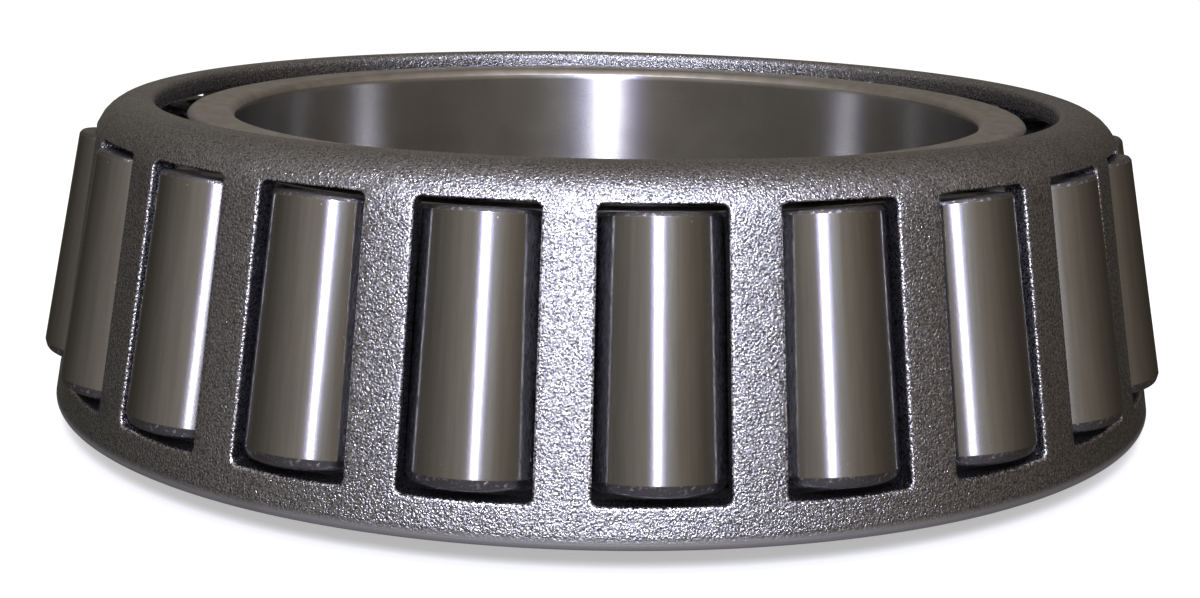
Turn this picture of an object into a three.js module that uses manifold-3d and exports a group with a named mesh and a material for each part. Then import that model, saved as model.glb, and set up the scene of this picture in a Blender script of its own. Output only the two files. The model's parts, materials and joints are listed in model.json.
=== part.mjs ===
// Tapered roller bearing cone assembly: inner ring, pressed-steel cage and one row of tapered rollers.
// Millimetres, +Z up along the bearing's axis. The origin is the centre of the inner ring's back face.
// The raceway, every roller and the cage windows taper towards one common apex on the axis, above the part.

import * as THREE from 'three';
import { mergeVertices } from 'three/addons/utils/BufferGeometryUtils.js';
import Module from 'manifold-3d';

const wasm = await Module();
wasm.setup();

// ---- Driving dimensions ----
const ROLLER_COUNT = 22;
const BORE_RADIUS = 25.4;
const RING_WIDTH = 20.6;
const AXIS_ANGLE = THREE.MathUtils.degToRad(10.15); // each roller's axis, and the cage wall, to the bearing's axis
const RUNNING_GAP = 0.05; // between a roller and the inner ring's raceway

// Rollers. Distances along a roller are measured upwards from the plane of the windows' lower edges.
const WINDOW_BASE_Z = 4.0;
const OUTER_LINE_RADIUS = 38.5; // where a roller's outermost line, carried on, meets that plane
const ROLLER_RADIUS = 3.85; // where a roller's cone crosses that plane
const ROLLER_START = 0.05;
const ROLLER_LENGTH = 15.0;
const LARGE_END_ROUND = 0.74;
const SMALL_END_ROUND = 0.4;

// Cage.
const CAGE_RADIUS = 37.3; // outer face of the wall at the windows' lower edges
const SHEET = 1.5;
const WINDOW_HEIGHT = 15.6;
const WINDOW_HALF_WIDTH_BASE = 3.735;
const WINDOW_HALF_WIDTH_TOP = 3.455;
const CAGE_SKIRT = 2.4; // wall below the windows' lower edges
const SHOULDER_RADIUS = 3.0; // outside of the bend into the small-end flange
const SHOULDER_START = 15.0; // height of the bend's start above the windows' lower edges
const FLANGE_BORE_RADIUS = 30.6;
const CAGE_EDGE_ROUND = 0.45;

// Inner ring.
const SMALL_FACE_RADIUS = 28.1;
const SMALL_RIB_RADIUS = 28.6;
const SMALL_RIB_ROUND = SMALL_RIB_RADIUS - SMALL_FACE_RADIUS;
const SMALL_RIB_HEIGHT = 1.85;
const LARGE_RIB_RADIUS = 33.0;
const LARGE_RIB_CHAMFER = 1.0;
const RIB_FACE_GAP = 0.12; // between the large rib's face and the rollers' large ends
const RELIEF_DEPTH = 0.4; // grinding relief at each end of the raceway
const RELIEF_WIDTH = 0.6;
const BACK_BORE_ROUND = 2.5;
const FRONT_BORE_ROUND = 0.8;

// Facets.
const RING_SEGMENTS = 66;
const CAGE_SEGMENTS = 88;
const ROLLER_SEGMENTS = 20;
const ROLLER_ARC_STEPS = 2;
const ARC_STEPS = 3;
const SHOULDER_STEPS = 5;

// ---- Geometry that follows from them ----
const ROLLER_AXIS_RADIUS = OUTER_LINE_RADIUS - ROLLER_RADIUS / Math.cos(AXIS_ANGLE);
const APEX_Z = WINDOW_BASE_Z + ROLLER_AXIS_RADIUS / Math.tan(AXIS_ANGLE);
const APEX_DISTANCE = ROLLER_AXIS_RADIUS / Math.sin(AXIS_ANGLE);
const ROLLER_HALF_ANGLE = Math.atan(ROLLER_RADIUS / APEX_DISTANCE);
const RACEWAY_ANGLE = AXIS_ANGLE - ROLLER_HALF_ANGLE;

// ---- Materials ----
function steel(name, color, roughness) {
  return new THREE.MeshStandardMaterial({ name, color, roughness, metalness: 1 });
}
const RING_STEEL = steel('ground_ring_steel', 0x9a958e, 0.28);
const ROLLER_STEEL = steel('ground_roller_steel', 0x8d8781, 0.22);
const CAGE_STEEL = steel('peened_cage_steel', 0x77767a, 0.55);

// ---- Helpers ----
// Points of a circular arc in an (r, z) half-plane, both ends included. Angles are in radians.
function arc(centreR, centreZ, radius, from, to, steps) {
  const points = [];
  for (let i = 0; i <= steps; i += 1) {
    const angle = from + ((to - from) * i) / steps;
    points.push(new THREE.Vector2(centreR + radius * Math.cos(angle), centreZ + radius * Math.sin(angle)));
  }
  return points;
}

// A body turned about Z from an (r, z) outline that runs upwards along its outside.
function turned(outline, segments) {
  const geometry = new THREE.LatheGeometry(outline, segments);
  geometry.rotateX(Math.PI / 2);
  return geometry;
}

function closedTurned(outline, segments) {
  return turned([...outline, outline[0].clone()], segments);
}

function toManifold(geometry) {
  const bare = geometry.clone();
  bare.deleteAttribute('normal');
  bare.deleteAttribute('uv');
  const merged = mergeVertices(bare, 1e-4);
  return new wasm.Manifold(new wasm.Mesh({
    numProp: 3,
    vertProperties: new Float32Array(merged.attributes.position.array),
    triVerts: new Uint32Array(merged.index.array),
  }));
}

function toGeometry(manifold) {
  const mesh = manifold.getMesh();
  const geometry = new THREE.BufferGeometry();
  geometry.setAttribute('position', new THREE.BufferAttribute(mesh.vertProperties, 3));
  geometry.setIndex(new THREE.BufferAttribute(mesh.triVerts, 1));
  geometry.computeVertexNormals();
  return geometry;
}

// ---- Inner ring ----
function racewayRadius(z) {
  return (APEX_Z - z) * Math.tan(RACEWAY_ANGLE) - RUNNING_GAP / Math.cos(RACEWAY_ANGLE);
}

// Height of the rollers' large-end plane at radius r.
function largeEndPlaneZ(r) {
  const centreR = ROLLER_AXIS_RADIUS - ROLLER_START * Math.sin(AXIS_ANGLE);
  const centreZ = WINDOW_BASE_Z + ROLLER_START * Math.cos(AXIS_ANGLE);
  return centreZ + (r - centreR) * Math.tan(AXIS_ANGLE);
}

function innerRingOutline() {
  const ribTopZ = largeEndPlaneZ(LARGE_RIB_RADIUS) - RIB_FACE_GAP;
  const ribRootR = racewayRadius(WINDOW_BASE_Z) - RELIEF_DEPTH;
  const ribRootZ = largeEndPlaneZ(ribRootR) - RIB_FACE_GAP;
  const smallRibZ = RING_WIDTH - SMALL_RIB_HEIGHT;
  const smallRootR = racewayRadius(smallRibZ) - RELIEF_DEPTH;
  const racewayBottomZ = ribRootZ + RELIEF_WIDTH;
  const racewayTopZ = smallRibZ - RELIEF_WIDTH;
  return [
    new THREE.Vector2(LARGE_RIB_RADIUS - LARGE_RIB_CHAMFER, 0),
    new THREE.Vector2(LARGE_RIB_RADIUS, LARGE_RIB_CHAMFER),
    new THREE.Vector2(LARGE_RIB_RADIUS, ribTopZ),
    new THREE.Vector2(ribRootR, ribRootZ),
    new THREE.Vector2(ribRootR, racewayBottomZ - RELIEF_DEPTH / 2),
    new THREE.Vector2(racewayRadius(racewayBottomZ), racewayBottomZ),
    new THREE.Vector2(racewayRadius(racewayTopZ), racewayTopZ),
    new THREE.Vector2(smallRootR, racewayTopZ + RELIEF_DEPTH / 2),
    new THREE.Vector2(smallRootR, smallRibZ),
    new THREE.Vector2(SMALL_RIB_RADIUS, smallRibZ),
    ...arc(SMALL_FACE_RADIUS, RING_WIDTH - SMALL_RIB_ROUND, SMALL_RIB_ROUND, 0, Math.PI / 2, ARC_STEPS),
    ...arc(BORE_RADIUS + FRONT_BORE_ROUND, RING_WIDTH - FRONT_BORE_ROUND, FRONT_BORE_ROUND,
      Math.PI / 2, Math.PI, ARC_STEPS),
    ...arc(BORE_RADIUS + BACK_BORE_ROUND, BACK_BORE_ROUND, BACK_BORE_ROUND,
      Math.PI, 1.5 * Math.PI, ARC_STEPS),
  ];
}

function innerRing() {
  const mesh = new THREE.Mesh(closedTurned(innerRingOutline(), RING_SEGMENTS), RING_STEEL);
  mesh.name = 'inner_ring';
  return mesh;
}

// ---- Cage ----
// Radius of the wall's outer face at height z.
function cageWallRadius(z) {
  return CAGE_RADIUS - (z - WINDOW_BASE_Z) * Math.tan(AXIS_ANGLE);
}

// One side of the sheet, from the skirt's edge up to the flange's edge, set in by a depth from its outer face.
function sheetSide(depth) {
  const bottomZ = WINDOW_BASE_Z - CAGE_SKIRT;
  const bendZ = WINDOW_BASE_Z + SHOULDER_START - SHOULDER_RADIUS * Math.sin(AXIS_ANGLE);
  const bendR = cageWallRadius(WINDOW_BASE_Z + SHOULDER_START) - SHOULDER_RADIUS * Math.cos(AXIS_ANGLE);
  return [
    new THREE.Vector2(cageWallRadius(bottomZ) - depth / Math.cos(AXIS_ANGLE), bottomZ),
    ...arc(bendR, bendZ, SHOULDER_RADIUS - depth, AXIS_ANGLE, Math.PI / 2, SHOULDER_STEPS),
    new THREE.Vector2(FLANGE_BORE_RADIUS, bendZ + SHOULDER_RADIUS - depth),
  ];
}

// Replaces a corner by a chamfer that starts a given distance from it on both sides.
function chamferCorner(before, corner, after, distance) {
  return [before, after].map((neighbour) => {
    const share = distance / corner.distanceTo(neighbour);
    return corner.clone().lerp(neighbour, share);
  });
}

function cageOutline() {
  const outside = sheetSide(0);
  const inside = sheetSide(SHEET).reverse();
  const loop = [...outside, ...inside];
  const last = loop.length - 1;
  const flangeEdge = outside.length - 1;
  const rounded = new Set([0, last, flangeEdge, flangeEdge + 1]);
  return loop.flatMap((point, i) => {
    if (!rounded.has(i)) return [point];
    const before = loop[i === 0 ? last : i - 1];
    const after = loop[i === last ? 0 : i + 1];
    return chamferCorner(before, point, after, CAGE_EDGE_ROUND);
  });
}

// A tapered punch that runs out from the axis and leaves one window in the wall facing -Y.
function windowPunch() {
  const shape = new THREE.Shape([
    new THREE.Vector2(-WINDOW_HALF_WIDTH_BASE, 0),
    new THREE.Vector2(WINDOW_HALF_WIDTH_BASE, 0),
    new THREE.Vector2(WINDOW_HALF_WIDTH_TOP, WINDOW_HEIGHT),
    new THREE.Vector2(-WINDOW_HALF_WIDTH_TOP, WINDOW_HEIGHT),
  ]);
  const depth = CAGE_RADIUS - FLANGE_BORE_RADIUS + 2 * SHEET;
  const punch = new THREE.ExtrudeGeometry(shape, { depth, bevelEnabled: false });
  punch.rotateX(Math.PI / 2);
  punch.translate(0, -FLANGE_BORE_RADIUS, WINDOW_BASE_Z);
  return punch;
}

function cage() {
  let body = toManifold(closedTurned(cageOutline(), CAGE_SEGMENTS));
  for (let i = 0; i < ROLLER_COUNT; i += 1) {
    const punch = windowPunch();
    punch.rotateZ((2 * Math.PI * i) / ROLLER_COUNT);
    body = body.subtract(toManifold(punch));
  }
  const mesh = new THREE.Mesh(toGeometry(body), CAGE_STEEL);
  mesh.name = 'cage';
  return mesh;
}

// ---- Rollers ----
// Outline of one roller about its own axis, large end at the bottom, zero at the windows' lower plane.
function rollerOutline() {
  const top = ROLLER_START + ROLLER_LENGTH;
  const side = (distance) => ROLLER_RADIUS - distance * Math.tan(ROLLER_HALF_ANGLE);
  return [
    new THREE.Vector2(0, ROLLER_START),
    ...arc(side(ROLLER_START) - LARGE_END_ROUND, ROLLER_START + LARGE_END_ROUND, LARGE_END_ROUND,
      -Math.PI / 2, 0, ROLLER_ARC_STEPS),
    ...arc(side(top) - SMALL_END_ROUND, top - SMALL_END_ROUND, SMALL_END_ROUND, 0, Math.PI / 2,
      ROLLER_ARC_STEPS),
    new THREE.Vector2(0, top),
  ];
}

// A roller in a group that leans its axis inwards and carries it round to its window.
function roller(index, geometry) {
  const mesh = new THREE.Mesh(geometry, ROLLER_STEEL);
  mesh.name = `roller_${String(index + 1).padStart(2, '0')}`;
  mesh.position.set(0, -ROLLER_AXIS_RADIUS, WINDOW_BASE_Z);
  mesh.rotation.x = -AXIS_ANGLE;
  const station = new THREE.Group();
  station.rotation.z = (2 * Math.PI * index) / ROLLER_COUNT;
  station.add(mesh);
  return station;
}

// ---- Assembly ----
const bearing = new THREE.Group();
bearing.name = 'tapered_roller_bearing';
bearing.add(innerRing());
bearing.add(cage());
const rollerGeometry = turned(rollerOutline(), ROLLER_SEGMENTS);
for (let i = 0; i < ROLLER_COUNT; i += 1) bearing.add(roller(i, rollerGeometry));

export default bearing;
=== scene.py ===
# Tapered roller bearing cone assembly: smooth, dense meshes and steel materials around the CAD frame.
# Sizes are in millimetres until a mesh is made. Azimuth 0 is -Y, and turns towards +X.
import json
import math

import bpy
from mathutils import Matrix, Vector


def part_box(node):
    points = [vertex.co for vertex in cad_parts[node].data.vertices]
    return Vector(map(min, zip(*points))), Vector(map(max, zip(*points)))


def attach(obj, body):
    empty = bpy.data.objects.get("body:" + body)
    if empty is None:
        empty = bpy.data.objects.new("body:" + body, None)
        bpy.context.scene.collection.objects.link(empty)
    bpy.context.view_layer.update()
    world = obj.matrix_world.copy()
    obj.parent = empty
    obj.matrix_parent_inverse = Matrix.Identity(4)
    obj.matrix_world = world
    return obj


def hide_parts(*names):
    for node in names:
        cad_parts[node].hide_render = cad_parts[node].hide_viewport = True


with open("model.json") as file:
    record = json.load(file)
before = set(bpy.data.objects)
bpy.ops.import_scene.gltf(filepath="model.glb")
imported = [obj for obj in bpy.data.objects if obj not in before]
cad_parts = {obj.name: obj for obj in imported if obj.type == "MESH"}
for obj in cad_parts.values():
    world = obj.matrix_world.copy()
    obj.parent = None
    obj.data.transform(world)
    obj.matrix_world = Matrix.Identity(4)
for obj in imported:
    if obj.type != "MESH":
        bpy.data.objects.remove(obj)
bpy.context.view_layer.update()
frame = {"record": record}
MM = 0.001

# ---- What the frame says ----
RECORD = frame["record"]
ROLLER_JOINTS = {j["child"]: j for j in RECORD["behaviour"]["joints"] if j["child"].startswith("roller")}
ROLLER_COUNT = len(ROLLER_JOINTS)
PITCH = 2 * math.pi / ROLLER_COUNT
FIRST_JOINT = ROLLER_JOINTS["roller_01"]
ROLLER_AXIS_RADIUS = math.hypot(*FIRST_JOINT["pos_m"][:2]) / MM
BASE_Z = FIRST_JOINT["pos_m"][2] / MM  # plane of the windows' lower edges
AXIS_ANGLE = math.acos(FIRST_JOINT["axis"][2])
RING_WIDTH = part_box("inner_ring")[1][2] / MM
LARGE_RIB_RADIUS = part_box("inner_ring")[1][0] / MM
LIP_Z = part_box("cage")[0][2] / MM

# ---- Sizes the frame's boxes don't give ----
BORE_RADIUS = 25.4
SMALL_FACE_RADIUS = 28.1
SMALL_RIB_RADIUS = 28.6
SMALL_RIB_HEIGHT = 1.85
LARGE_RIB_CHAMFER = 1.0
RUNNING_GAP = 0.05
RIB_FACE_GAP = 0.12
RELIEF_DEPTH = 0.4
RELIEF_WIDTH = 0.6
BACK_BORE_ROUND = 2.5
FRONT_BORE_ROUND = 0.8
RIM_ROUND = 0.25
RIB_EDGE_ROUND = 0.15
GROOVE_ROUND = 0.1

ROLLER_RADIUS = 3.85
ROLLER_START = 0.05
ROLLER_LENGTH = 15.0
LARGE_END_ROUND = 0.74
SMALL_END_ROUND = 0.4
END_DIMPLE_RADIUS = 1.6
DIMPLE_FLOOR_RADIUS = 0.55 * END_DIMPLE_RADIUS
END_DIMPLE_DEPTH = 0.25
DIMPLE_FLOOR_ROUND = 0.5
DIMPLE_EDGE_ROUND = 0.3

CAGE_RADIUS = 37.3
SHEET = 1.5
WINDOW_HEIGHT = 15.6
WINDOW_HALF_BASE = 3.735
WINDOW_HALF_TOP = 3.455
WINDOW_CORNER = 0.42
WINDOW_EDGE_ROUND = 0.36
CAGE_SKIRT = 2.4
SHOULDER_RADIUS = 3.0
SHOULDER_START = 15.0 / math.cos(AXIS_ANGLE)  # along the sheet
FLANGE_BORE_RADIUS = 30.6
LIP_ROUND = 0.45
FLANGE_ROUND = 0.5

# ---- Mesh density ----
RING_SEGMENTS = 264
ROLLER_SEGMENTS = 96
ARC_STEP = math.radians(12)
BEND_STEPS = 6
BEVEL_STEPS = 5
SUPPORT = 0.04  # an extra point this far beside each rounding keeps flat faces flat in the shading
AXIS_REACH = 1e-6  # points nearer the axis than this are on it
END_FACING = 0.3  # a face whose normal has at least this much Z belongs to an end, not to a side


# ---- Outlines ----
def rounded(corners, closed):
    """Points of an (r, z) outline with rounded corners (r, z, radius), and a support point at each side."""
    points = []
    count = len(corners)
    for i, (r, z, radius) in enumerate(corners):
        here = Vector((r, z))
        if not radius or (not closed and i in (0, count - 1)):
            points.append(here)
            continue
        before = Vector(corners[i - 1][:2]) - here
        after = Vector(corners[(i + 1) % count][:2]) - here
        half = before.angle(after) / 2
        reach = radius / math.tan(half)
        start = here + before.normalized() * reach
        centre = here + (before.normalized() + after.normalized()).normalized() * (radius / math.sin(half))
        first = start - centre
        turn = math.pi - 2 * half
        sign = 1 if before.x * after.y - before.y * after.x < 0 else -1
        steps = max(2, math.ceil(turn / ARC_STEP))
        points.append(here + before.normalized() * (reach + SUPPORT))
        for k in range(steps + 1):
            angle = sign * turn * k / steps
            arm = Vector((first.x * math.cos(angle) - first.y * math.sin(angle),
                          first.x * math.sin(angle) + first.y * math.cos(angle)))
            points.append(centre + arm)
        points.append(here + after.normalized() * (reach + SUPPORT))
    return points


def make_object(name, vertices, faces, *materials):
    """A smooth-shaded object from vertices in millimetres."""
    mesh = bpy.data.meshes.new(name)
    mesh.from_pydata([(x * MM, y * MM, z * MM) for x, y, z in vertices], [], faces)
    mesh.validate()
    mesh.shade_smooth()
    for material in materials:
        mesh.materials.append(material)
    piece = bpy.data.objects.new(name, mesh)
    bpy.context.scene.collection.objects.link(piece)
    return piece


def lathe(name, outline, segments, closed, material):
    """Turns an (r, z) outline about Z. An open outline starts and ends on the axis."""
    vertices = []
    rows = []
    for point in outline:
        if point.x < AXIS_REACH:
            rows.append([len(vertices)] * segments)
            vertices.append((0, 0, point.y))
            continue
        rows.append(list(range(len(vertices), len(vertices) + segments)))
        for k in range(segments):
            angle = 2 * math.pi * k / segments
            vertices.append((point.x * math.sin(angle), -point.x * math.cos(angle), point.y))
    pairs = list(zip(rows, rows[1:]))
    if closed:
        pairs.append((rows[-1], rows[0]))
    faces = []
    for low, high in pairs:
        for k in range(segments):
            n = (k + 1) % segments
            corners = [low[k], low[n], high[n], high[k]]
            faces.append([c for j, c in enumerate(corners) if c not in corners[:j]])
    return make_object(name, vertices, faces, material)


# ---- Inner ring ----
APEX_Z = BASE_Z + ROLLER_AXIS_RADIUS / math.tan(AXIS_ANGLE)
ROLLER_HALF_ANGLE = math.atan(ROLLER_RADIUS * math.sin(AXIS_ANGLE) / ROLLER_AXIS_RADIUS)
RACEWAY_ANGLE = AXIS_ANGLE - ROLLER_HALF_ANGLE


def raceway_radius(z):
    """Radius of the cone on which the rollers roll, a running gap inside them."""
    return (APEX_Z - z) * math.tan(RACEWAY_ANGLE) - RUNNING_GAP / math.cos(RACEWAY_ANGLE)


def large_end_z(r):
    """Height of the plane of the rollers' large ends at radius r."""
    centre_r = ROLLER_AXIS_RADIUS - ROLLER_START * math.sin(AXIS_ANGLE)
    return BASE_Z + ROLLER_START * math.cos(AXIS_ANGLE) + (r - centre_r) * math.tan(AXIS_ANGLE)


def build_inner_ring(ground, satin, scaled):
    """The turned ring: ground all over but for its satin ends and the large rib's dark rim."""
    root_r = raceway_radius(BASE_Z) - RELIEF_DEPTH
    root_z = large_end_z(root_r) - RIB_FACE_GAP
    rib_z = RING_WIDTH - SMALL_RIB_HEIGHT
    race_low = root_z + RELIEF_WIDTH
    race_high = rib_z - RELIEF_WIDTH
    small_root_r = raceway_radius(rib_z) - RELIEF_DEPTH
    outline = rounded([
        (LARGE_RIB_RADIUS - LARGE_RIB_CHAMFER, 0, RIM_ROUND),
        (LARGE_RIB_RADIUS, LARGE_RIB_CHAMFER, RIM_ROUND),
        (LARGE_RIB_RADIUS, large_end_z(LARGE_RIB_RADIUS) - RIB_FACE_GAP, RIB_EDGE_ROUND),
        (root_r, root_z, GROOVE_ROUND),
        (root_r, race_low - RELIEF_DEPTH / 2, GROOVE_ROUND),
        (raceway_radius(race_low), race_low, GROOVE_ROUND),
        (raceway_radius(race_high), race_high, GROOVE_ROUND),
        (small_root_r, race_high + RELIEF_DEPTH / 2, GROOVE_ROUND),
        (small_root_r, rib_z, GROOVE_ROUND),
        (SMALL_RIB_RADIUS, rib_z, GROOVE_ROUND),
        (SMALL_RIB_RADIUS, RING_WIDTH, SMALL_RIB_RADIUS - SMALL_FACE_RADIUS),
        (BORE_RADIUS, RING_WIDTH, FRONT_BORE_ROUND),
        (BORE_RADIUS, 0, BACK_BORE_ROUND),
    ], closed=True)
    ring = lathe("inner_ring_turned", outline, RING_SEGMENTS, True, ground)
    ring.data.materials.append(satin)
    ring.data.materials.append(scaled)
    finish_ends(ring)
    rim_reach = (LARGE_RIB_RADIUS - LARGE_RIB_CHAMFER) * MM
    for face in ring.data.polygons:
        if face.center.xy.length > rim_reach:
            face.material_index = 2
    return ring


def finish_ends(piece):
    """Gives the piece's second material to its faces that look up or down."""
    for face in piece.data.polygons:
        face.material_index = int(abs(face.normal.z) > END_FACING)


# ---- Rollers ----
def build_roller_mesh(side_steel, end_steel):
    """A roller about its own Z axis, with zero at the windows' lower plane and the large end below."""
    low, top = ROLLER_START, ROLLER_START + ROLLER_LENGTH
    low_side = ROLLER_RADIUS - low * math.tan(ROLLER_HALF_ANGLE)
    top_side = ROLLER_RADIUS - top * math.tan(ROLLER_HALF_ANGLE)
    low_break = 0.28 * LARGE_END_ROUND  # an end's rounding is a chamfer broken once, with softened corners
    outline = rounded([
        (0, low + END_DIMPLE_DEPTH, 0),
        (DIMPLE_FLOOR_RADIUS, low + END_DIMPLE_DEPTH, DIMPLE_FLOOR_ROUND),
        (END_DIMPLE_RADIUS, low, DIMPLE_EDGE_ROUND),
        (low_side - LARGE_END_ROUND, low, 0.25),
        (low_side - low_break, low + low_break, 0.5),
        (low_side, low + LARGE_END_ROUND, 0.06),
        (top_side, top - 0.7 * SMALL_END_ROUND, 0.03),
        (top_side - 0.35 * SMALL_END_ROUND, top - 0.12 * SMALL_END_ROUND, 0.2),
        (top_side - SMALL_END_ROUND, top, 0.15),
        (END_DIMPLE_RADIUS, top, DIMPLE_EDGE_ROUND),
        (DIMPLE_FLOOR_RADIUS, top - END_DIMPLE_DEPTH, DIMPLE_FLOOR_ROUND),
        (0, top - END_DIMPLE_DEPTH, 0),
    ], closed=False)
    roller = lathe("roller_template", outline, ROLLER_SEGMENTS, False, side_steel)
    roller.data.materials.append(end_steel)
    finish_ends(roller)
    return roller


def build_rollers(side_steel, end_steel):
    """(roller, node) for each roller: the same mesh, stood along its joint's axis."""
    template = build_roller_mesh(side_steel, end_steel)
    rollers = []
    for node, joint in sorted(ROLLER_JOINTS.items()):
        piece = bpy.data.objects.new(node + "_ground", template.data.copy())
        bpy.context.scene.collection.objects.link(piece)
        outward = Vector((joint["pos_m"][0], joint["pos_m"][1], 0)).normalized()
        up = Vector(joint["axis"])
        across = up.cross(-outward).normalized()
        inward = across.cross(up)
        turn = Matrix((across, inward, up)).transposed().to_4x4()
        piece.matrix_world = Matrix.Translation(joint["pos_m"]) @ turn
        rollers.append((piece, node))
    bpy.data.objects.remove(template)
    return rollers


# ---- Cage ----
# A place on the sheet is (azimuth, s, depth): s runs along the outer face, up from the windows' lower plane
# and round the shoulder's bend, and depth is how far the point lies below the outer face.
BEND_RADIUS = CAGE_RADIUS - SHOULDER_START * math.sin(AXIS_ANGLE) - SHOULDER_RADIUS * math.cos(AXIS_ANGLE)
BEND_Z = SHOULDER_START * math.cos(AXIS_ANGLE) - SHOULDER_RADIUS * math.sin(AXIS_ANGLE)
BEND_LENGTH = SHOULDER_RADIUS * (math.pi / 2 - AXIS_ANGLE)


def sheet_point(s, depth):
    """(r, z) of a place on the sheet, with z from the windows' lower plane."""
    if s <= SHOULDER_START:
        r = CAGE_RADIUS - s * math.sin(AXIS_ANGLE) - depth * math.cos(AXIS_ANGLE)
        return r, s * math.cos(AXIS_ANGLE) - depth * math.sin(AXIS_ANGLE)
    angle = AXIS_ANGLE + min(s - SHOULDER_START, BEND_LENGTH) / SHOULDER_RADIUS
    beyond = max(0, s - SHOULDER_START - BEND_LENGTH)
    reach = SHOULDER_RADIUS - depth
    return BEND_RADIUS + reach * math.cos(angle) - beyond, BEND_Z + reach * math.sin(angle)


def sheet_s(z, depth):
    """The s at which the face at this depth has height z."""
    s = (z + depth * math.sin(AXIS_ANGLE)) / math.cos(AXIS_ANGLE)
    if s <= SHOULDER_START:
        return s
    angle = math.asin((z - BEND_Z) / (SHOULDER_RADIUS - depth))
    return SHOULDER_START + SHOULDER_RADIUS * (angle - AXIS_ANGLE)


# A cell is the sheet round one window, half way to each neighbour, from GRID_LOW up to GRID_HIGH.
SIDE_STEPS = 40  # along a window's long sides
END_STEPS = 12  # along its ends
CORNER_STEPS = 8
CELL_BELOW = 0.8  # how far a cell reaches below its window
CELL_TURN = math.radians(62)  # the sheet's slope where a cell ends, in the shoulder's bend
GRID_LOW = sheet_s(-CELL_BELOW, 0)
GRID_HIGH = SHOULDER_START + SHOULDER_RADIUS * (CELL_TURN - AXIS_ANGLE)
STRAIGHT_AZIMUTH = math.radians(5.0)  # half the stretch of a cell's end that faces the window's end
RING_SHARES = (0, 0.46, 0.72, 1)  # where the mesh's rows lie between a window's edge and its cell's outline
WALL_SHARES = (0, 0.3, 0.5, 0.7, 1)  # and through the sheet's thickness
SHARP_ANGLE = math.radians(40)  # edges that turn by more than this are the windows', and are rounded


def window_half(z):
    """Half the window's width at a height above its lower edge."""
    return WINDOW_HALF_BASE + (WINDOW_HALF_TOP - WINDOW_HALF_BASE) * z / WINDOW_HEIGHT


def window_loop():
    """(x, z) round one window, anticlockwise seen from outside, from where its lower right corner begins."""
    loop = []
    c = WINDOW_CORNER
    low, high = window_half(c) - c, window_half(WINDOW_HEIGHT - c) - c
    corners = [(low, c, -90), (high, WINDOW_HEIGHT - c, 0), (-high, WINDOW_HEIGHT - c, 90), (-low, c, 180)]
    steps = [END_STEPS, SIDE_STEPS, END_STEPS, SIDE_STEPS]
    for i, (cx, cz, start) in enumerate(corners):
        arc = []
        for k in range(CORNER_STEPS + 1):
            angle = math.radians(start + 90 * k / CORNER_STEPS)
            arc.append((cx + c * math.cos(angle), cz + c * math.sin(angle)))
        if loop:
            join_straight(loop, arc[0], steps[i])
        loop.extend(arc)
    join_straight(loop, loop[0], steps[0])
    return loop


def join_straight(loop, end, steps):
    """Adds the points between the loop's last point and the next corner."""
    start = loop[-1]
    for k in range(1, steps):
        loop.append(tuple(a + (b - a) * k / steps for a, b in zip(start, end)))


def cell_loop():
    """(azimuth, s) round a cell, point for point with window_loop, and the azimuths along its end."""
    half = CORNER_STEPS // 2
    end = [-PITCH / 2 + (PITCH / 2 - STRAIGHT_AZIMUTH) * k / half for k in range(half)]
    end += [STRAIGHT_AZIMUTH * (2 * k / END_STEPS - 1) for k in range(END_STEPS + 1)]
    end += [-a for a in reversed(end[:half])]
    sides = SIDE_STEPS + CORNER_STEPS
    side = [GRID_LOW + (GRID_HIGH - GRID_LOW) * k / sides for k in range(sides + 1)]
    loop = [(a, GRID_LOW) for a in end[:-1]]
    loop += [(PITCH / 2, s) for s in side[:-1]]
    loop += [(-a, GRID_HIGH) for a in end[:-1]]
    loop += [(-PITCH / 2, s) for s in reversed(side[1:])]
    shift = len(end) - 1 - half
    return loop[shift:] + loop[:shift], end


PEENED, SHEARED_AND_SHADED, BURNISHED = range(3)  # the cage's finishes, in the order of its materials


class Builder:
    """Collects vertices, joined where they coincide, and faces."""

    def __init__(self):
        self.vertices = []
        self.index = {}
        self.faces = []
        self.finishes = []

    def vertex(self, x, y, z):
        key = (round(x, 4), round(y, 4), round(z, 4))
        if key not in self.index:
            self.index[key] = len(self.vertices)
            self.vertices.append((x, y, z + BASE_Z))
        return self.index[key]

    def place(self, azimuth, r, z):
        """The vertex at an azimuth, a radius and a height above the windows' lower plane."""
        return self.vertex(r * math.sin(azimuth), -r * math.cos(azimuth), z)

    def strip(self, first, second, closed, finish=PEENED):
        """Faces between two rows of vertices."""
        count = len(first)
        for k in range(count if closed else count - 1):
            n = (k + 1) % count
            self.faces.append((first[k], first[n], second[n], second[k]))
            self.finishes.append(finish)


def window_places(loop, depth):
    """(azimuth, s) of the window's edge on the face at this depth, punched straight towards the axis."""
    places = []
    for x, z in loop:
        s = sheet_s(z, depth)
        places.append((math.asin(x / sheet_point(s, depth)[0]), s))
    return places


def cage_cell(builder, middle):
    """One window and the sheet around it, half way to its neighbours."""
    loop = window_loop()
    cell, columns = cell_loop()
    for depth, flip in ((0, False), (SHEET, True)):
        edge = window_places(loop, depth)
        rings = []
        for share in RING_SHARES:
            ring = []
            for (a0, s0), (a1, s1) in zip(edge, cell):
                r, z = sheet_point(s0 + (s1 - s0) * share, depth)
                ring.append(builder.place(middle + a0 + (a1 - a0) * share, r, z))
            rings.append(ring)
        for inner, outer in zip(rings, rings[1:]):
            builder.strip(*((inner, outer) if flip else (outer, inner)), closed=True)
    window_walls(builder, loop, middle)
    outline_strips(builder, columns, middle)


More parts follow.
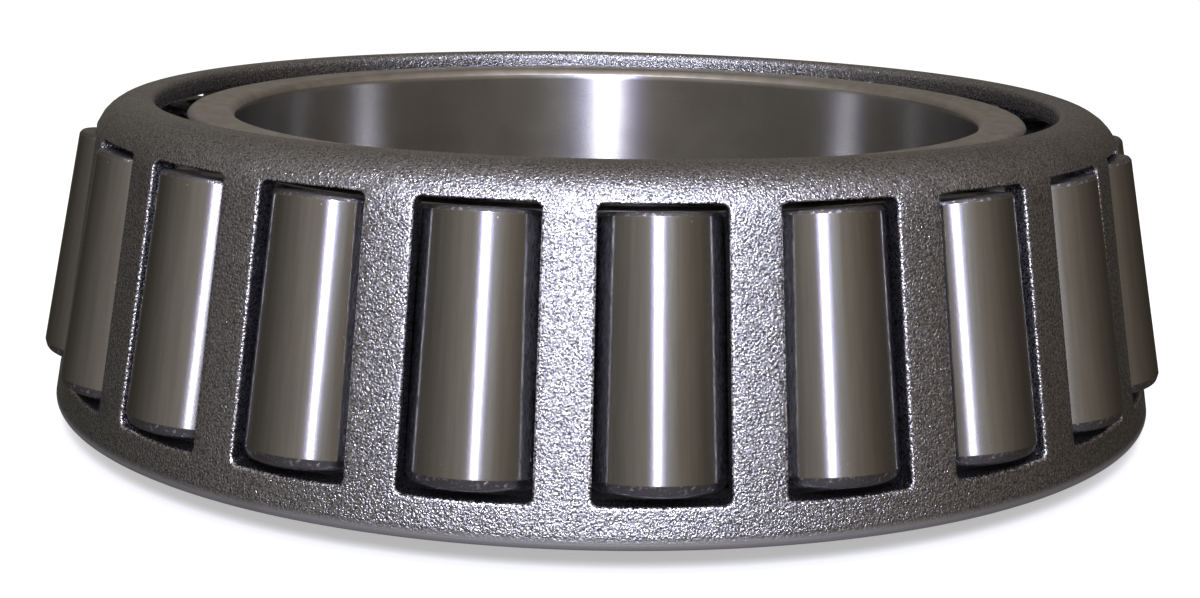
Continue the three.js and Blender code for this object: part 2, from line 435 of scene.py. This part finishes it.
def window_walls(builder, loop, middle):
    """The punched walls, from the window's edge on the outer face to its edge on the inner face."""
    outer = window_places(loop, 0)
    inner = window_places(loop, SHEET)
    rows = []
    for share in WALL_SHARES:
        row = []
        for (x, z), (a0, s0), (a1, s1) in zip(loop, outer, inner):
            y0 = sheet_point(s0, 0)[0] * math.cos(a0)
            y1 = sheet_point(s1, SHEET)[0] * math.cos(a1)
            y = y0 + (y1 - y0) * share
            row.append(builder.place(middle + math.atan2(x, y), math.hypot(x, y), z))
        rows.append(row)
    for upper, lower in zip(rows, rows[1:]):
        builder.strip(upper, lower, closed=True, finish=SHEARED_AND_SHADED)


def outline_strips(builder, columns, middle):
    """The plain stretches: over the flange's edge, and round the lower lip."""
    for path in (flange_path(), lip_path()):
        rows = [[builder.place(middle + a, r, z) for a in columns] for r, z in path]
        for low, high in zip(rows, rows[1:]):
            builder.strip(low, high, closed=False)


def flange_path():
    """(r, z) from the cell's top on the outer face, over the flange's edge, to its top on the inner face."""
    bend_end = SHOULDER_START + BEND_LENGTH
    bend = [GRID_HIGH + (bend_end - GRID_HIGH) * k / BEND_STEPS for k in range(BEND_STEPS + 1)]
    top = sheet_point(bend_end, 0)[1]
    edge = rounded([
        (BEND_RADIUS, top, 0),
        (FLANGE_BORE_RADIUS, top, FLANGE_ROUND),
        (FLANGE_BORE_RADIUS, top - SHEET, FLANGE_ROUND / 2),
        (BEND_RADIUS, top - SHEET, 0),
    ], closed=False)
    outside = [sheet_point(s, 0) for s in bend]
    inside = [sheet_point(s, SHEET) for s in reversed(bend)]
    return outside + [tuple(p) for p in edge[1:-1]] + inside


def lip_path():
    """(r, z) from the cell's bottom on the inner face, round the lip, to its bottom on the outer face."""
    outer_end = sheet_s(-CAGE_SKIRT, 0)
    inner_end = sheet_s(-CAGE_SKIRT, SHEET)
    start, end = sheet_point(GRID_LOW, SHEET), sheet_point(GRID_LOW, 0)
    path = rounded([
        (*start, 0),
        (*sheet_point(inner_end, SHEET), LIP_ROUND),
        (*sheet_point(outer_end, 0), LIP_ROUND),
        (*end, 0),
    ], closed=False)
    return [tuple(p) for p in path]


def build_cage(*materials):
    """The pressed cage, one cell after another, with the windows' edges rounded."""
    builder = Builder()
    for i in range(ROLLER_COUNT):
        cage_cell(builder, i * PITCH)
    piece = make_object("cage_pressed", builder.vertices, builder.faces, *materials)
    piece.data.polygons.foreach_set("material_index", builder.finishes)
    bevel = piece.modifiers.new("punched_edges", "BEVEL")
    bevel.width = WINDOW_EDGE_ROUND * MM
    bevel.segments = BEVEL_STEPS
    bevel.limit_method = "ANGLE"
    bevel.angle_limit = SHARP_ANGLE
    bevel.material = BURNISHED
    return piece


# ---- Materials ----
# A blend's share runs from 0, its first color, to 1, its second. Noise comes in grains per millimetre.
class Nodes:
    """Short names for building one node material."""

    def __init__(self, name):
        self.material = bpy.data.materials.new(name)
        self.material.use_nodes = True
        self.tree = self.material.node_tree
        self.shader = self.tree.nodes["Principled BSDF"]
        self.place = self.add("ShaderNodeTexCoord").outputs["Object"]

    def add(self, kind, **settings):
        node = self.tree.nodes.new(kind)
        for key, value in settings.items():
            setattr(node, key, value)
        return node

    def link(self, source, target):
        self.tree.links.new(source, target)

    def stretched(self, scale):
        node = self.add("ShaderNodeMapping")
        node.inputs["Scale"].default_value = scale
        self.link(self.place, node.inputs["Vector"])
        return node.outputs["Vector"]

    def noise(self, per_mm, detail=2, roughness=0.5, place=None):
        node = self.add("ShaderNodeTexNoise")
        node.inputs["Scale"].default_value = per_mm / MM
        node.inputs["Detail"].default_value = detail
        node.inputs["Roughness"].default_value = roughness
        self.link(place or self.place, node.inputs["Vector"])
        return node.outputs["Fac"]

    def height(self):
        """Height above the object's origin, in millimetres."""
        node = self.add("ShaderNodeSeparateXYZ")
        self.link(self.place, node.inputs["Vector"])
        return self.math("DIVIDE", node.outputs["Z"], MM)

    def band(self, middle, half):
        """1 at a height, falling to 0 at a distance above and below it."""
        away = self.math("ABSOLUTE", self.math("SUBTRACT", self.height(), middle), 0)
        return self.remap(away, 0, half, 1, 0)

    def cells(self, per_mm, feature="F1", place=None):
        node = self.add("ShaderNodeTexVoronoi", feature=feature)
        node.inputs["Scale"].default_value = per_mm / MM
        self.link(place or self.place, node.inputs["Vector"])
        return node.outputs["Distance"]

    def remap(self, value, low, high, to_low, to_high):
        node = self.add("ShaderNodeMapRange")
        node.inputs["From Min"].default_value = low
        node.inputs["From Max"].default_value = high
        node.inputs["To Min"].default_value = to_low
        node.inputs["To Max"].default_value = to_high
        self.link(value, node.inputs["Value"])
        return node.outputs["Result"]

    def math(self, operation, a, b):
        node = self.add("ShaderNodeMath", operation=operation)
        for socket, value in zip(node.inputs, (a, b)):
            if isinstance(value, (int, float)):
                socket.default_value = value
            else:
                self.link(value, socket)
        return node.outputs["Value"]

    def blend(self, share, a, b):
        node = self.add("ShaderNodeMix", data_type="RGBA")
        self.link(share, node.inputs["Factor"])
        for socket, value in ((node.inputs["A"], a), (node.inputs["B"], b)):
            if isinstance(value, tuple):
                socket.default_value = (*value, 1)
            else:
                self.link(value, socket)
        return node.outputs["Result"]

    def bump(self, height, distance):
        node = self.add("ShaderNodeBump")
        node.inputs["Distance"].default_value = distance * MM
        node.inputs["Strength"].default_value = 1.0
        self.link(height, node.inputs["Height"])
        return node.outputs["Normal"]

    def ground_round(self):
        """Grinding lines that run round Z, so that a highlight is drawn out along Z."""
        tangent = self.add("ShaderNodeTangent", direction_type="RADIAL", axis="Z")
        self.link(tangent.outputs["Tangent"], self.shader.inputs["Tangent"])
        self.shader.inputs["Anisotropic"].default_value = 0.97
        self.shader.inputs["Anisotropic Rotation"].default_value = 0.25

    def finish(self, color, roughness, normal=None):
        self.shader.inputs["Metallic"].default_value = 1
        self.link(color, self.shader.inputs["Base Color"])
        self.link(roughness, self.shader.inputs["Roughness"])
        if normal:
            self.link(normal, self.shader.inputs["Normal"])
        return self.material


def peened_steel():
    """Shot-peened sheet steel: fine pebbles, painted shade darkening their crevices, faint stains, and a
    smooth dull lower lip.
    """
    n = Nodes("peened_sheet_steel")
    pebbles = n.noise(9.0, detail=2, roughness=0.6)
    dents = n.cells(7.0, feature="SMOOTH_F1")
    height = n.math("ADD", pebbles, n.math("MULTIPLY", dents, 0.45))
    grain = n.remap(n.height(), LIP_Z + LIP_ROUND, LIP_Z + LIP_ROUND + 0.4, 0.08, 1)
    stains = n.remap(n.noise(0.11, detail=4, roughness=0.6), 0.55, 0.75, 0, 0.3)
    spots = n.remap(n.noise(0.28, detail=4), 0.6, 0.7, 0, 0.6)
    spots = n.math("MULTIPLY", spots, n.band(BASE_Z + 0.8, 1.2))  # only beside the windows' lower ends
    # painted shade: the base colour darkens where the pebbles are low, standing in for the shade in their
    # crevices
    crevice_painted_shade = n.math("MULTIPLY", n.remap(pebbles, 0.38, 0.58, 0.9, 0), grain)
    tone = n.blend(crevice_painted_shade, (0.56, 0.57, 0.605), (0.12, 0.125, 0.165))
    color = n.blend(n.math("MAXIMUM", stains, spots), tone, (0.15, 0.145, 0.145))
    roughness = n.math("MULTIPLY", n.remap(n.noise(4.0, detail=2), 0.3, 0.7, 0.18, 0.32), grain)
    roughness = n.math("ADD", roughness, n.remap(grain, 0, 1, 0.55, 0))
    return n.finish(color, roughness, n.bump(n.math("MULTIPLY", height, grain), 0.068))


def sheared_and_shaded_steel():
    """The punched walls of the windows: darker than the sheet's faces, partly by finish and partly as
    painted shade.
    """
    n = Nodes("sheared_window_wall_painted_shade")
    grit = n.noise(9.0, detail=3)
    # partly painted shade: the walls' dark colour also stands in for the shade deep in the gap beside the
    # rollers
    color = n.blend(n.remap(grit, 0.4, 0.6, 0, 1), (0.08, 0.08, 0.1), (0.3, 0.3, 0.335))
    roughness = n.remap(grit, 0.3, 0.7, 0.22, 0.36)
    return n.finish(color, roughness, n.bump(grit, 0.08))


def burnished_steel():
    """The windows' rounded edges, rubbed bright between darker nicks."""
    n = Nodes("burnished_window_edge")
    nicks = n.noise(7.0, detail=3)
    color = n.blend(n.remap(nicks, 0.42, 0.56, 0, 1), (0.14, 0.14, 0.17), (0.75, 0.75, 0.79))
    roughness = n.remap(nicks, 0.3, 0.7, 0.2, 0.34)
    return n.finish(color, roughness, n.bump(nicks, 0.07))


def satin_face_steel():
    """The ring's end faces and the edges beside them: satin and a little lighter, with faint mottling."""
    n = Nodes("satin_face_steel")
    mottle = n.noise(0.5, detail=5, roughness=0.65)
    color = n.blend(n.remap(mottle, 0.35, 0.65, 0, 1), (0.50, 0.48, 0.46), (0.62, 0.60, 0.57))
    roughness = n.remap(n.noise(1.5, detail=3), 0.3, 0.7, 0.3, 0.42)
    return n.finish(color, roughness, n.bump(n.noise(6, detail=2), 0.006))


def scaled_steel():
    """The large rib's rim, left unground, and so dark from hardening."""
    n = Nodes("scaled_steel")
    mottle = n.noise(1.2, detail=5, roughness=0.65)
    color = n.blend(n.remap(mottle, 0.35, 0.65, 0, 1), (0.05, 0.05, 0.06), (0.12, 0.12, 0.135))
    roughness = n.remap(mottle, 0.3, 0.7, 0.35, 0.5)
    return n.finish(color, roughness, n.bump(n.noise(5, detail=3), 0.01))


def ground_roller_steel():
    """A roller's side: a narrow highlight along it, faint streaks, and a few bright specks."""
    n = Nodes("ground_roller_steel")
    lines = n.noise(1.0, detail=3, place=n.stretched((0.3, 0.3, 14)))
    streaks = n.noise(1.0, detail=4, roughness=0.65, place=n.stretched((2.5, 2.5, 0.12)))
    specks = n.remap(n.cells(1.1), 0.03, 0.06, 1, 0)
    base = n.blend(n.remap(streaks, 0.35, 0.65, 0, 1), (0.38, 0.38, 0.375), (0.45, 0.45, 0.445))
    color = n.blend(specks, base, (0.95, 0.95, 0.95))
    roughness = n.remap(lines, 0.3, 0.7, 0.235, 0.26)
    n.ground_round()
    n.shader.inputs["Coat Weight"].default_value = 0.2
    n.shader.inputs["Coat Roughness"].default_value = 0.32
    return n.finish(color, roughness, n.bump(n.noise(6.0, detail=3), 0.0025))


def roller_end_steel_painted_shade():
    """The rollers' ends and chamfers: darker, partly by finish and partly as painted shade, with small
    bright nicks.
    """
    n = Nodes("roller_end_steel_painted_shade")
    nicks = n.remap(n.noise(5.0, detail=3, roughness=0.6), 0.55, 0.72, 0, 1)
    # the dark colour is partly painted shade, and the bright nicks partly a painted reflection of the cage
    # wall's glints
    color = n.blend(nicks, (0.2, 0.2, 0.225), (0.6, 0.6, 0.63))
    roughness = n.remap(n.noise(2.0, detail=3), 0.3, 0.7, 0.28, 0.42)
    return n.finish(color, roughness, n.bump(nicks, 0.02))


def ground_ring_steel():
    """The ring's bore, ribs and raceway: fine ground, with a faint mottle."""
    n = Nodes("ground_ring_steel")
    lines = n.noise(1.0, detail=3, place=n.stretched((0.2, 0.2, 12)))
    mottle = n.noise(0.2, detail=4, roughness=0.6)
    color = n.blend(n.remap(mottle, 0.35, 0.65, 0, 1), (0.445, 0.445, 0.44), (0.53, 0.53, 0.525))
    roughness = n.remap(lines, 0.3, 0.7, 0.23, 0.25)
    n.ground_round()
    return n.finish(color, roughness)


def floor_material():
    """Plain and pale, with enough light of its own to stay white."""
    n = Nodes("pale_floor")
    n.shader.inputs["Base Color"].default_value = (0.55, 0.55, 0.55, 1)
    n.shader.inputs["Emission Color"].default_value = (1, 1, 1, 1)
    n.shader.inputs["Emission Strength"].default_value = 0.42
    n.shader.inputs["Roughness"].default_value = 0.9
    n.shader.inputs["Specular IOR Level"].default_value = 0
    return n.material


# ---- Floor, light and camera ----
FLOOR_HALF = 3000


def build_floor():
    corners = [(-FLOOR_HALF, -FLOOR_HALF, 0), (FLOOR_HALF, -FLOOR_HALF, 0)]
    corners += [(FLOOR_HALF, FLOOR_HALF, 0), (-FLOOR_HALF, FLOOR_HALF, 0)]
    floor = make_object("floor", corners, [(0, 1, 2, 3)], floor_material())
    floor.visible_glossy = False  # the steel mirrors the dim room below it instead


def round_axis(azimuth, distance, height):
    """A point at an azimuth and a distance from the bearing's axis, in metres."""
    return Vector((distance * math.sin(azimuth), -distance * math.cos(azimuth), height)) * MM


def area_light(name, place, target, size, watts, color):
    """A soft panel of light, size (across, up) in millimetres, that faces the target."""
    light = bpy.data.lights.new(name, "AREA")
    light.shape = "RECTANGLE"
    light.size, light.size_y = size[0] * MM, size[1] * MM
    light.energy = watts
    light.color = color
    holder = bpy.data.objects.new(name, light)
    holder.location = place
    holder.rotation_euler = (target - place).to_track_quat("-Z", "Y").to_euler()
    bpy.context.scene.collection.objects.link(holder)


CAMERA_AZIMUTH = math.radians(-5.14)
CAMERA_ELEVATION = math.radians(13.784)
CAMERA_DISTANCE = 135.54
CAMERA_PAN = math.radians(-0.092)  # pan, tilt and roll are away from a camera aimed at the axis at BASE_Z
CAMERA_TILT = math.radians(1.163)
CAMERA_ROLL = math.radians(1.097)
CAMERA_LENS = 56.85
LIGHT_AZIMUTH = CAMERA_AZIMUTH - math.radians(0.14)
FLASH_DISTANCE = 203
FLASH_HEIGHT = 126
FLASH_WIDTH = 30
FLASH_TALL = 54
RIM_WIDTH = 78
RIM_TALL = 64
AIM_Z = BASE_Z + 8  # the lamps are aimed at the bearing's axis at this height
GLOW_WIDTHS = (30, 58, 86)  # of the panels that start at the flash's right edge and make its glow fade
GLOW_WATTS = 2.2e-4  # of a panel, per millimetre of its width


def build_lights():
    """A flash behind and above the camera, a violet panel round it, and a bluish glow to its right."""
    target = Vector((0, 0, AIM_Z)) * MM
    place = round_axis(LIGHT_AZIMUTH, FLASH_DISTANCE, FLASH_HEIGHT)
    area_light("flash", place, target, (FLASH_WIDTH, FLASH_TALL), 0.46, (0.95, 0.96, 1.0))
    area_light("flash_rim", place, target, (RIM_WIDTH, RIM_TALL), 0.14, (0.45, 0.4, 1.0))
    for width in GLOW_WIDTHS:
        turn = math.atan((FLASH_WIDTH + width) / 2 / FLASH_DISTANCE)
        beside = round_axis(LIGHT_AZIMUTH + turn, FLASH_DISTANCE, FLASH_HEIGHT)
        area_light("glow", beside, target, (width, RIM_TALL), GLOW_WATTS * width, (0.7, 0.8, 1.0))


# The room that the steel reflects is three ramps multiplied: up, left to right, and near to far. A ramp is
# a list of (place, color), with the place from -1 to 1.
ROOM_BY_HEIGHT = [(-1.0, (0.3, 0.3, 0.36)), (-0.75, (0.22, 0.22, 0.24)), (-0.45, (0.16, 0.155, 0.15)),
                  (-0.05, (0.14, 0.135, 0.125)), (0.03, (0.22, 0.21, 0.20)), (0.2, (0.24, 0.23, 0.22)),
                  (0.35, (0.42, 0.40, 0.38)), (1.0, (0.55, 0.53, 0.52))]
ROOM_BY_SIDE = [(-1.0, (0.78, 0.735, 0.66)), (0.0, (1.0, 0.93, 0.86)), (1.0, (0.60, 0.52, 0.42))]
ROOM_BY_DEPTH = [(-1.0, (1.0, 1.0, 1.0)), (-0.3, (0.62, 0.62, 0.62)), (0.3, (0.38, 0.38, 0.38)),
                 (0.75, (0.2, 0.2, 0.18)), (0.9, (0.3, 0.3, 0.28)), (1.0, (0.42, 0.42, 0.4))]
ROOM_BRIGHTNESS = 1.7
BACKDROP_BRIGHTNESS = 1.18


def room_color(tree):
    """The room's color in each direction."""
    direction = tree.nodes.new("ShaderNodeTexCoord")
    parts = tree.nodes.new("ShaderNodeSeparateXYZ")
    tree.links.new(direction.outputs["Generated"], parts.inputs[0])
    height = room_ramp(tree, parts.outputs["Z"], ROOM_BY_HEIGHT)
    side = room_ramp(tree, parts.outputs["X"], ROOM_BY_SIDE)
    depth = room_ramp(tree, parts.outputs["Y"], ROOM_BY_DEPTH)
    return multiplied(tree, multiplied(tree, height, side), depth)


def build_world():
    """A dim warm room for the steel to reflect, and bright white for the floor and the backdrop."""
    world = bpy.data.worlds.new("studio")
    bpy.context.scene.world = world
    world.use_nodes = True
    world.cycles.sampling_method = "NONE"
    tree = world.node_tree
    tree.nodes.clear()
    room = tree.nodes.new("ShaderNodeBackground")
    room.inputs["Strength"].default_value = ROOM_BRIGHTNESS
    tree.links.new(room_color(tree), room.inputs["Color"])
    bright = tree.nodes.new("ShaderNodeBackground")
    bright.inputs["Color"].default_value = (1, 1, 1, 1)
    bright.inputs["Strength"].default_value = BACKDROP_BRIGHTNESS
    paths = tree.nodes.new("ShaderNodeLightPath")
    mix = tree.nodes.new("ShaderNodeMixShader")
    out = tree.nodes.new("ShaderNodeOutputWorld")
    tree.links.new(paths.outputs["Is Glossy Ray"], mix.inputs["Fac"])
    tree.links.new(bright.outputs[0], mix.inputs[1])
    tree.links.new(room.outputs[0], mix.inputs[2])
    tree.links.new(mix.outputs[0], out.inputs["Surface"])


def multiplied(tree, a, b):
    """The product of two colors."""
    mix = tree.nodes.new("ShaderNodeMix")
    mix.data_type = "RGBA"
    mix.blend_type = "MULTIPLY"
    mix.inputs["Factor"].default_value = 1
    tree.links.new(a, mix.inputs["A"])
    tree.links.new(b, mix.inputs["B"])
    return mix.outputs["Result"]


def room_ramp(tree, value, stops):
    """A ramp's color for a value that runs from -1 to 1."""
    shift = tree.nodes.new("ShaderNodeMapRange")
    shift.inputs["From Min"].default_value = -1
    tree.links.new(value, shift.inputs["Value"])
    ramp = tree.nodes.new("ShaderNodeValToRGB")
    elements = ramp.color_ramp.elements
    while len(elements) < len(stops):
        elements.new(0.5)
    for element, (place, color) in zip(elements, stops):
        element.position = (place + 1) / 2
        element.color = (*color, 1)
    tree.links.new(shift.outputs["Result"], ramp.inputs["Fac"])
    return ramp.outputs["Color"]


def turned(a, b, angle):
    """Two directions at right angles, both turned by an angle from a towards b."""
    return a * math.cos(angle) + b * math.sin(angle), b * math.cos(angle) - a * math.sin(angle)


def build_camera():
    data = bpy.data.cameras.new("camera")
    data.lens = CAMERA_LENS
    data.sensor_width = 36
    data.clip_start = 0.005
    camera = bpy.data.objects.new("camera", data)
    bpy.context.scene.collection.objects.link(camera)
    bpy.context.scene.camera = camera
    level = CAMERA_DISTANCE * math.cos(CAMERA_ELEVATION)
    height = BASE_Z + CAMERA_DISTANCE * math.sin(CAMERA_ELEVATION)
    place = round_axis(CAMERA_AZIMUTH, level, height)
    forward = (Vector((0, 0, BASE_Z * MM)) - place).normalized()
    right = forward.cross(Vector((0, 0, 1))).normalized()
    up = right.cross(forward)
    forward, right = turned(forward, right, CAMERA_PAN)
    forward, up = turned(forward, up, CAMERA_TILT)
    right, up = turned(right, up, CAMERA_ROLL)
    camera.matrix_world = Matrix.Translation(place) @ Matrix((right, up, -forward)).transposed().to_4x4()


# ---- Assembly ----
def assemble():
    """Each piece rides on its body and stands in for its CAD node."""
    ring = build_inner_ring(ground_ring_steel(), satin_face_steel(), scaled_steel())
    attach(ring, "inner_ring")
    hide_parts("inner_ring")
    cage = build_cage(peened_steel(), sheared_and_shaded_steel(), burnished_steel())
    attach(cage, "cage")
    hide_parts("cage")
    for piece, node in build_rollers(ground_roller_steel(), roller_end_steel_painted_shade()):
        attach(piece, node)
        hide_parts(node)


build_camera()
build_world()
build_lights()
build_floor()
assemble()
bpy.context.scene.view_settings.view_transform = "Standard"
